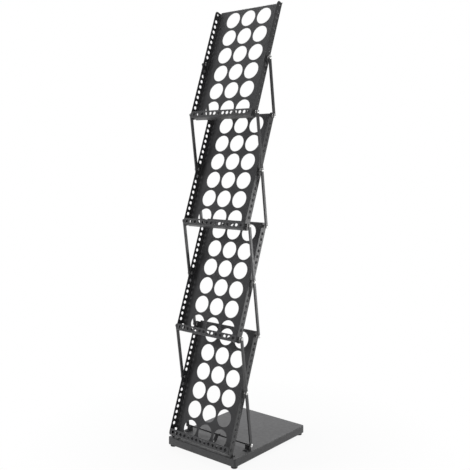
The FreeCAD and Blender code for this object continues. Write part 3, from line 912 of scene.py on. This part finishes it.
foot_top = base_low[2]
plug_top = foot_top + PLUG_LONG
hollow = [(FOOT_HOLLOW, 0), (FOOT_HOLLOW, HOLLOW_FLAT), (HOLLOW_BREAK, HOLLOW_SIDE)]
hollow += [(0, TREAD_IN), (0, TREAD_OUT)]
tread = arc((FOOT_ROUND, FOOT - FOOT_ROUND), FOOT_ROUND, 180, 90, TREAD_STEPS)
shoulder = [(foot_top - CHAMFER, FOOT), (foot_top, FOOT - CHAMFER), (foot_top, PLUG)]
plug = [(plug_top - CHAMFER, PLUG), (plug_top, PLUG - CHAMFER), (plug_top, 0)]
foot_signs = np.array(((1, 1), (1, -1), (-1, 1), (-1, -1)))
foot_places = [(*(base_centre + sign * (base_half - FOOT_INSET)), 0) for sign in foot_signs]
feet = standing(hollow + tread + shoulder + plug, foot_places)
piece("base_feet_moulded", feet, "base", foot_rubber_shaded, ["base_feet"])
print("feet", len(foot_places))

# %% [markdown]
# A thin rod crosses between the lower ends of the last bars, and a domed cap closes each end. Half of the
# rod's profile is written down, and its mirror image gives the other half.

# %% Rod and end caps
rod_low, rod_high = (np.array(corner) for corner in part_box("cross_rod"))
rod = (rod_low + rod_high)[1:] / 2
to_rod = np.array((0, *rod))
ROD = 2.5 * MM
ROD_END = 2.0 * MM
ROD_BREAK = 0.5 * MM
ROD_TAPER = 0.6 * MM
bar_out = BAR_X + BAR_THICK
rod_shoulder = [(0, ROD), (BAR_X - ROD_TAPER, ROD), (BAR_X, ROD - ROD_BREAK)]
rod_half = np.array(rod_shoulder + [(BAR_X, ROD_END), (bar_out, ROD_END), (bar_out, 0)])
rod_profile = np.concatenate((rod_half[:0:-1] * (-1, 1), rod_half))
rod_chunk = grid(spun(rod_profile) + to_rod)
piece("cross_rod_turned", [rod_chunk], "bars_4", black_steel, ["cross_rod"])
caps = moved(pair(spun([(bar_out, 0)] + dome(bar_out))), lambda p: p + to_rod)
piece("rod_caps_turned", caps, "bars_4", zinc_steel, ["rod_caps"])
print("rod at", rod.round(4))

# %% [markdown]
# At rest the rod sits in two plastic rests and under a spring catch, which is a bent strip screwed to the
# base. The catch is a path carried across its width: flat on the base, up a slope, over the rod and down
# behind it. Its corners are turned into arcs, because a strip bends on a radius.

# %% Catch
CATCH_SHEET = 1.5 * MM
CATCH_HALF = 6 * MM
CATCH_BEND = 1.5 * MM + CATCH_SHEET / 2
CATCH_TAIL = 33 * MM
CATCH_SLOPE = 17 * MM
CATCH_DROP = 2 * MM
CATCH_EDGE = 0.3 * MM
CATCH_POINTS = 9
ROD_PLAY = 0.4 * MM


def unit(vector):
    """A vector divided by its length."""
    return vector / np.linalg.norm(vector)


def bent_path(corners, radius, steps=6):
    """A path in the (y, z) plane whose inner corners are turned into arcs: each arc runs between its two
    tangent points about a centre on the corner's bisector."""
    corners = np.array(corners, float)
    out = [corners[:1]]
    for before, here, after in zip(corners[:-2], corners[1:-1], corners[2:]):
        a = unit(before - here)
        b = unit(after - here)
        half = math.acos(np.clip(a @ b, -1, 1)) / 2
        centre = here + unit(a + b) * radius / math.sin(half)
        start = here + a * radius / math.tan(half) - centre
        end = here + b * radius / math.tan(half) - centre
        sweep = math.acos(np.clip(start @ end / radius ** 2, -1, 1))
        t = np.linspace(0, 1, steps + 1)[:, None] * sweep
        out.append(centre + (start * np.sin(sweep - t) + end * np.sin(t)) / math.sin(sweep))
    return np.concatenate(out + [corners[-1:]])


base_top = base_high[2]
strip_z = base_top + CATCH_SHEET / 2
over = ROD + ROD_PLAY + CATCH_SHEET / 2
catch_corners = [(rod[0] - CATCH_TAIL, strip_z), (rod[0] - CATCH_SLOPE, strip_z),
                 (rod[0] - over, rod[1] + over), (rod[0] + over, rod[1] + over),
                 (rod[0] + over, rod[1] - CATCH_DROP)]
catch_path = bent_path(catch_corners, CATCH_BEND)
catch_x = np.linspace(-CATCH_HALF, CATCH_HALF, CATCH_POINTS)
catch = sheet_of(catch_x, catch_path[:, :1], catch_path[:, 1:])
piece("rod_catch_bent", [catch], "base", black_steel, ["rod_catch"],
      CATCH_SHEET, CATCH_EDGE)
print("catch path points", len(catch_path))

# %% [markdown]
# Seven pan-head screws hold the hinge, the rests and the catch. A head is a height over its own disc: a
# low dome, less a cross-shaped recess where two straight slots meet. The polar grid is fine enough to
# show the recess.

# %% Screw shape
SCREW_HEAD = 3.8 * MM
SCREW_RISE = 2.0 * MM
SCREW_TURN = math.radians(20)
SLOT_HALF = 0.55 * MM
SLOT_REACH = 2.3 * MM
SLOT_DEPTH = 1.1 * MM
SLOT_WALL = 0.25 * MM
SLOT_END = 0.5 * MM
SCREW_SHANK = 2.0 * MM
SCREW_LONG = 12.0 * MM
SCREW_TIP = 14.0 * MM
SCREW_COLUMNS = 96
SCREW_RINGS = 26
FACE_SHARE = 0.94
RIM_SHARES = (0.98, 1.0)


def screw_shape():
    """Polar grid of a screw: z = rise (1 - (r / R)^4 / 2) less a recess that fades out past its slots and
    its reach, then the head's wall and a pointed shank."""
    r = np.concatenate((np.linspace(0, FACE_SHARE, SCREW_RINGS), RIM_SHARES))[:, None] * SCREW_HEAD
    slot_turn = np.linspace(0, 2 * math.pi, SCREW_COLUMNS + 1)
    turn = slot_turn + SCREW_TURN
    off_slot = np.minimum(np.abs(r * np.cos(slot_turn)), np.abs(r * np.sin(slot_turn)))
    in_slot = np.clip((SLOT_HALF - off_slot) / SLOT_WALL, 0, 1)
    in_reach = np.clip((SLOT_REACH - r) / SLOT_END, 0, 1)
    z = SCREW_RISE * (1 - 0.5 * (r / SCREW_HEAD) ** 4) - SLOT_DEPTH * in_slot * in_reach
    top = np.stack((r * np.cos(turn), r * np.sin(turn), z), -1)
    lower_r = np.array((SCREW_HEAD, SCREW_SHANK, SCREW_SHANK, 0.0))[:, None]
    lower_z = np.array((0.0, 0.0, -SCREW_LONG, -SCREW_TIP))[:, None]
    lower = np.stack(np.broadcast_arrays(lower_r * np.cos(turn), lower_r * np.sin(turn), lower_z), -1)
    return np.concatenate((top, lower))


screw = screw_shape()
print("screw rings and columns", screw.shape[:2])

# %% [markdown]
# The screws stand on the pieces that they hold: two on each hinge bracket, one on each rest and one on
# the catch. All have the same shape, so only their places and finishes differ.

# %% Screws in their places
BRACKET_PLATE = 2 * MM
REST_PLATE = 2.5 * MM
SCREW_SPACING = 9 * MM
EAR_PLAY = 0.3 * MM
EAR = 2.5 * MM
BRACKET_MIDDLE = 10.25 * MM
BRACKET_BACK = 13 * MM
REST_PLAY = 0.8 * MM
REST_MIDDLE = 7.5 * MM
REST_SCREW = 12 * MM
CATCH_SCREW = 25 * MM
hinge_y = front[LOWEST][1] + BRACKET_BACK
hinge_x = CLEAR_HALF - EAR_PLAY - EAR - BRACKET_MIDDLE
hinge_xs = [side * (hinge_x + off) for side in (-1, 1) for off in (-SCREW_SPACING / 2, SCREW_SPACING / 2)]
rest_y = rod[0] - REST_SCREW
rest_x = BAR_X - REST_PLAY - REST_MIDDLE
catch_y = rod[0] - CATCH_SCREW
hinge_places = [(x, hinge_y, base_top + BRACKET_PLATE) for x in hinge_xs]
rest_places = [(x, rest_y, base_top + REST_PLATE) for x in (-rest_x, rest_x)]
catch_places = [(0, catch_y, base_top + CATCH_SHEET)]
screws = {"hinge_screws": (hinge_places, "black_steel", black_steel),
          "rest_screws": (rest_places, "black_steel", black_steel),
          "catch_screw": (catch_places, "zinc_steel", zinc_steel)}
for name, (places, slot, finish) in screws.items():
    chunks = [grid(screw + np.array(place)) for place in places]
    piece(f"{name}_headed", chunks, "base", finish, [name])
print("screws", sum(len(places) for places, _, _ in screws.values()))

# %% [markdown]
# The hinge brackets, their pins, the rod rests and the board inside the base keep their CAD shapes. They
# only need their finishes.

# %% Finishes of the kept nodes
kept = {"hinge_bracket_right": black_steel, "hinge_bracket_left": black_steel, "hinge_pins": black_steel,
        "rod_rest_right": black_plastic, "rod_rest_left": black_plastic, "base_core": core_board}
for name, finish in kept.items():
    node = frame["nodes"][name]
    node.data.materials.clear()
    node.data.materials.append(finish)
print("kept nodes", len(kept))

# %% [markdown]
# The photograph is a plain white studio shot: the wall behind the rack is bright, the side of the camera
# is dim, and so the front of the rack is darker than its top and its outer sides. The world is white
# where the camera looks, and for reflections and for soft light it fades from the bright wall to the dim
# front. A dark screen stands high at the back right, so that the upper outer sides mirror less light than
# the lower ones, which mirror the floor.

# %% World
def any_ray(tree, *kinds):
    """One for rays of the named kinds and zero for the rest."""
    path = tree.nodes.new("ShaderNodeLightPath")
    found = path.outputs[kinds[0]]
    for kind in kinds[1:]:
        either = tree.nodes.new("ShaderNodeMath")
        either.operation = "MAXIMUM"
        tree.links.new(found, either.inputs[0])
        tree.links.new(path.outputs[kind], either.inputs[1])
        found = either.outputs[0]
    return found


world = bpy.data.worlds.new("studio")
bpy.context.scene.world = world
world.use_nodes = True
sky = world.node_tree
background = sky.nodes["Background"]
background.inputs["Strength"].default_value = 1.0
direction = sky.nodes.new("ShaderNodeTexCoord").outputs["Generated"]
WALL = (0, 1, 0)
SCREEN = (0.5, 0.6, 0.62)
SOFT_FRONT = (0.10, 0.10, 0.102)
SOFT_WALL = (0.20, 0.20, 0.202)
MIRRORED_FRONT = (0.30, 0.30, 0.305)
WHITE = (1.0, 1.0, 1.0)


def towards(aim):
    """How much a direction of the world points at an aim: the dot product of the two."""
    node = sky.nodes.new("ShaderNodeVectorMath")
    node.operation = "DOT_PRODUCT"
    sky.links.new(direction, node.inputs[0])
    node.inputs[1].default_value = aim
    return node.outputs["Value"]


behind = spread(sky, towards(WALL), 0.0, 1.0, start=-0.5, end=0.6)
unscreened = spread(sky, towards(SCREEN), 1.0, 0.1, start=0.65, end=0.88)
soft = tinted(sky, behind, SOFT_FRONT, SOFT_WALL)
mirrored = tinted(sky, product(sky, behind, unscreened), MIRRORED_FRONT, WHITE)
seen = tinted(sky, any_ray(sky, "Is Glossy Ray"), soft, mirrored)
white = tinted(sky, any_ray(sky, "Is Camera Ray", "Is Transmission Ray"), seen, WHITE)
sky.links.new(white, background.inputs["Color"])
print("world", world.name)

# %% [markdown]
# The floor is matt and pale. Far from the rack it glows white for the camera, so that it melts into the
# wall, and near the rack its own light and shade come through and keep a faint shadow.

# %% Floor
FLOOR_HALF = 9.0
FLOOR_Z = -0.2 * MM
FLOOR_COLOUR = (0.52, 0.52, 0.52, 1)
GLOW_NEAR = 0.93
GLOW_START = 0.25
GLOW_END = 0.7


def floor_finish():
    """Matt pale grey, mixed for camera, glossy and transmission rays with a white glow that grows with
    distance."""
    made = bpy.data.materials.new("studio_floor")
    made.use_nodes = True
    tree = made.node_tree
    tree.nodes.clear()
    matt = tree.nodes.new("ShaderNodeBsdfDiffuse")
    matt.inputs["Color"].default_value = FLOOR_COLOUR
    glow = tree.nodes.new("ShaderNodeEmission")
    both = tree.nodes.new("ShaderNodeMixShader")
    out = tree.nodes.new("ShaderNodeOutputMaterial")
    far = tree.nodes.new("ShaderNodeVectorMath")
    far.operation = "LENGTH"
    tree.links.new(tree.nodes.new("ShaderNodeTexCoord").outputs["Object"], far.inputs[0])
    looked_at = any_ray(tree, "Is Camera Ray", "Is Glossy Ray", "Is Transmission Ray")
    glowing = spread(tree, far.outputs["Value"], GLOW_NEAR, 1.0, GLOW_START, GLOW_END)
    tree.links.new(product(tree, looked_at, glowing), both.inputs[0])
    tree.links.new(matt.outputs[0], both.inputs[1])
    tree.links.new(glow.outputs[0], both.inputs[2])
    tree.links.new(both.outputs[0], out.inputs["Surface"])
    return made


floor_line = np.linspace(-FLOOR_HALF, FLOOR_HALF, 3)
floor_mesh = mesh_of("floor", [sheet_of(floor_line, floor_line[:, None], FLOOR_Z)])
floor_mesh.materials.append(floor_finish())
floor = bpy.data.objects.new("floor", floor_mesh)
bpy.context.scene.collection.objects.link(floor)
print("floor", tuple(round(v, 1) for v in floor.dimensions))

# %% [markdown]
# Three square lamps give the light. One behind on the right is mirrored in the outer sides, one above
# lights the base and the upper edges, and one in front on the left lights the panels, so that the left
# flanges shade the margin beside them. The front lamp isn't mirrored, because the photograph shows no
# highlight on the panels.

# %% Lamps
def lamp(name, place, aim, size, power, shines=True):
    """A square soft lamp at a place, turned to an aim. One that doesn't shine gives light but isn't
    mirrored."""
    light = bpy.data.lights.new(name, "AREA")
    light.size = size
    light.energy = power
    thing = bpy.data.objects.new(name, light)
    thing.location = place
    thing.visible_camera = False
    thing.visible_glossy = shines
    away = thing.location - type(thing.location)(aim)
    thing.rotation_euler = away.to_track_quat("Z", "Y").to_euler()
    bpy.context.scene.collection.objects.link(thing)


lamp("side_lamp", (1.0, 1.1, 0.47), (0, 0, 0.6), size=0.6, power=6.5)
lamp("top_lamp", (-0.4, 0.5, 3.0), (0, 0, 0.3), size=1.8, power=78)
lamp("front_lamp", (-1.97, -2.07, 1.4), (0, 0, 0.6), size=1.0, power=55, shines=False)
print("lamps", len(bpy.data.lights))

# %% [markdown]
# The camera stands to the right of the front, a little above the middle of the rack, where the photograph
# was taken from. Its place and focal length come from matching the trays' holes in the photograph.

# %% Camera
CAMERA_PLACE = (1.38327, -1.67842, 0.8882)
YAW = math.radians(39.696)
PITCH = math.radians(5.903)
ROLL = math.radians(0.206)
FOCAL_PIXELS = 702.09
FRAME_PIXELS = 470
SENSOR = 36.0
camera_data = bpy.data.cameras.new("camera")
camera_data.sensor_width = SENSOR
camera_data.lens = SENSOR * FOCAL_PIXELS / FRAME_PIXELS
camera = bpy.data.objects.new("camera", camera_data)
camera.location = CAMERA_PLACE
camera.rotation_euler = (math.pi / 2 - PITCH, -ROLL, YAW)
bpy.context.scene.collection.objects.link(camera)
bpy.context.scene.camera = camera
bpy.context.scene.view_settings.view_transform = "Standard"
print("camera lens %.1f mm" % camera_data.lens)

# %% [markdown]
# Last, the view layer is updated, so that every piece sits in its place.

# %% Last update
bpy.context.view_layer.update()
